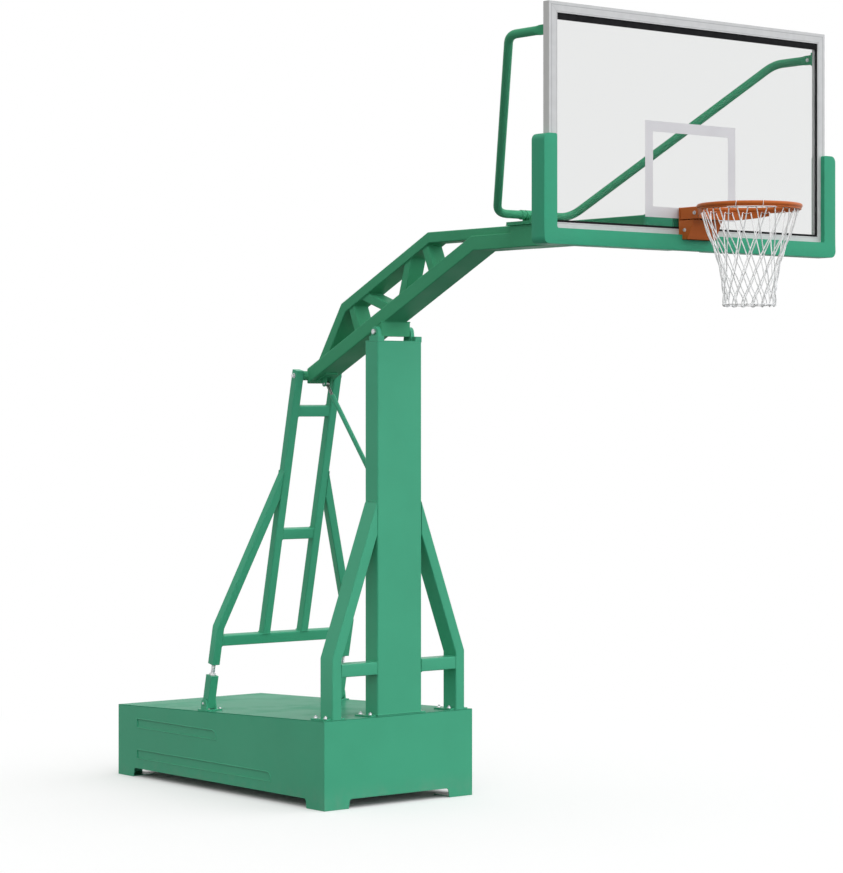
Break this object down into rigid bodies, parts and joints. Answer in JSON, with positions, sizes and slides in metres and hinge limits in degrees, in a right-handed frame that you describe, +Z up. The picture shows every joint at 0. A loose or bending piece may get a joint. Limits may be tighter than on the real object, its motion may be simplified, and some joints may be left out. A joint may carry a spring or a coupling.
{
  "type": "portable basketball backstop",
  "caption": "Free-standing basketball backstop: ballasted base, post, tilting lattice arm with rear stay, glass board with padding, breakaway ring and cord net.",
  "frame": {"origin": "centre of the whole object's footprint, on the floor", "axes": "+Z up, +X to the right for a player facing the board, +Y away from the court; the board faces -Y"},
  "size_m": [1.9, 4.871, 3.95],
  "materials": {
    "green_paint": "satin green paint",
    "orange_paint": "satin orange-brown paint",
    "dark_paint": "dark primer",
    "bright_steel": "zinc-plated steel",
    "frame_aluminium": "satin anodised",
    "clear_glass": "clear tempered, polished",
    "black_rubber": "matt black",
    "green_padding": "moulded skin over foam, matt",
    "white_cord": "twisted white cord",
    "grey_concrete": "cast concrete"
  },
  "bodies": {
    "stand": {"base_front": "green_paint", "base_rear": "green_paint", "base_left": "green_paint", "base_right": "green_paint", "base_floor": "green_paint", "deck_front": "green_paint", "deck_rear": "green_paint", "ballast_left": "grey_concrete", "ballast_right": "grey_concrete", "post": "green_paint", "post_head": "green_paint", "post_stub": "dark_paint", "pivot_pin": "bright_steel", "brace_left": "green_paint", "brace_right": "green_paint", "tie_left": "green_paint", "tie_right": "green_paint", "strut_lug_low": "green_paint", "link_bracket_left": "green_paint", "link_bracket_right": "green_paint"},
    "arm": {"lower_chord": "green_paint", "upper_chord": "green_paint", "web_1": "green_paint", "web_2": "green_paint", "web_3": "green_paint", "web_4": "green_paint", "pivot_block": "green_paint", "arm_head": "green_paint", "pipe_saddle": "green_paint", "board_pipe_left": "green_paint", "board_pipe_right": "green_paint", "stay_pin": "bright_steel", "strut_lug_top": "green_paint", "head_bracket": "green_paint", "frame_bottom": "frame_aluminium", "frame_left": "frame_aluminium", "frame_right": "frame_aluminium", "frame_top": "frame_aluminium", "glass": "clear_glass", "glass_seal": "black_rubber", "pad": "green_padding", "ring_housing": "orange_paint", "ring_stop": "black_rubber", "ring_pin": "bright_steel", "ring_spring": "bright_steel"},
    "ring_body": {"ring": "orange_paint", "net": "white_cord"},
    "stay": {"upright_left": "green_paint", "upright_right": "green_paint", "outrigger_left": "green_paint", "outrigger_right": "green_paint", "rung_upper": "green_paint", "rung_lower": "green_paint", "bottom_rail": "green_paint"},
    "adjuster_left": {"link_left": "green_paint", "screw_left": "bright_steel"},
    "adjuster_right": {"link_right": "green_paint", "screw_right": "bright_steel"},
    "strut_sleeve": {"strut_tube": "green_paint"},
    "strut_rod": {"strut_bar": "bright_steel"}
  },
  "joints": [
    {"name": "arm_tilt", "type": "hinge", "parent": "stand", "child": "arm", "pos_m": [0, 0.4975, 2.517], "axis": [1, 0, 0], "range_deg": [-1.5, 1.5]},
    {"name": "ring_flex", "type": "hinge", "parent": "arm", "child": "ring_body", "pos_m": [0, -1.9215, 3.021], "axis": [1, 0, 0], "range_deg": [0, 30], "stiffness_Nm_per_rad": 600, "springref_deg": -40.11},
    {"name": "stay_swing", "type": "hinge", "parent": "arm", "child": "stay", "pos_m": [0, 1.1845, 2.289], "axis": [1, 0, 0], "range_deg": [-1.9, 1.9]},
    {"name": "adjuster_left_swing", "type": "hinge", "parent": "stand", "child": "adjuster_left", "pos_m": [-0.447, 1.58643, 0.47299], "axis": [1, 0, 0], "range_deg": [-0.35, 0.35]},
    {"name": "adjuster_right_swing", "type": "hinge", "parent": "stand", "child": "adjuster_right", "pos_m": [0.447, 1.58643, 0.47299], "axis": [1, 0, 0], "range_deg": [-0.35, 0.35]},
    {"name": "strut_sleeve_swing", "type": "hinge", "parent": "stand", "child": "strut_sleeve", "pos_m": [0, 0.5905, 1.631], "axis": [1, 0, 0], "range_deg": [-0.35, 0.35]},
    {"name": "strut_rod_swing", "type": "hinge", "parent": "arm", "child": "strut_rod", "pos_m": [0, 1.0925, 2.244], "axis": [1, 0, 0], "range_deg": [-1.3, 1.3]}
  ],
  "couplings": [
    {"joint": "stay_swing", "follows": "arm_tilt", "ratio": -1.1995},
    {"joint": "adjuster_left_swing", "follows": "arm_tilt", "ratio": -0.1995},
    {"joint": "adjuster_right_swing", "follows": "arm_tilt", "ratio": -0.1995},
    {"joint": "strut_sleeve_swing", "follows": "arm_tilt", "ratio": 0.20922},
    {"joint": "strut_rod_swing", "follows": "arm_tilt", "ratio": -0.79078}
  ]
}
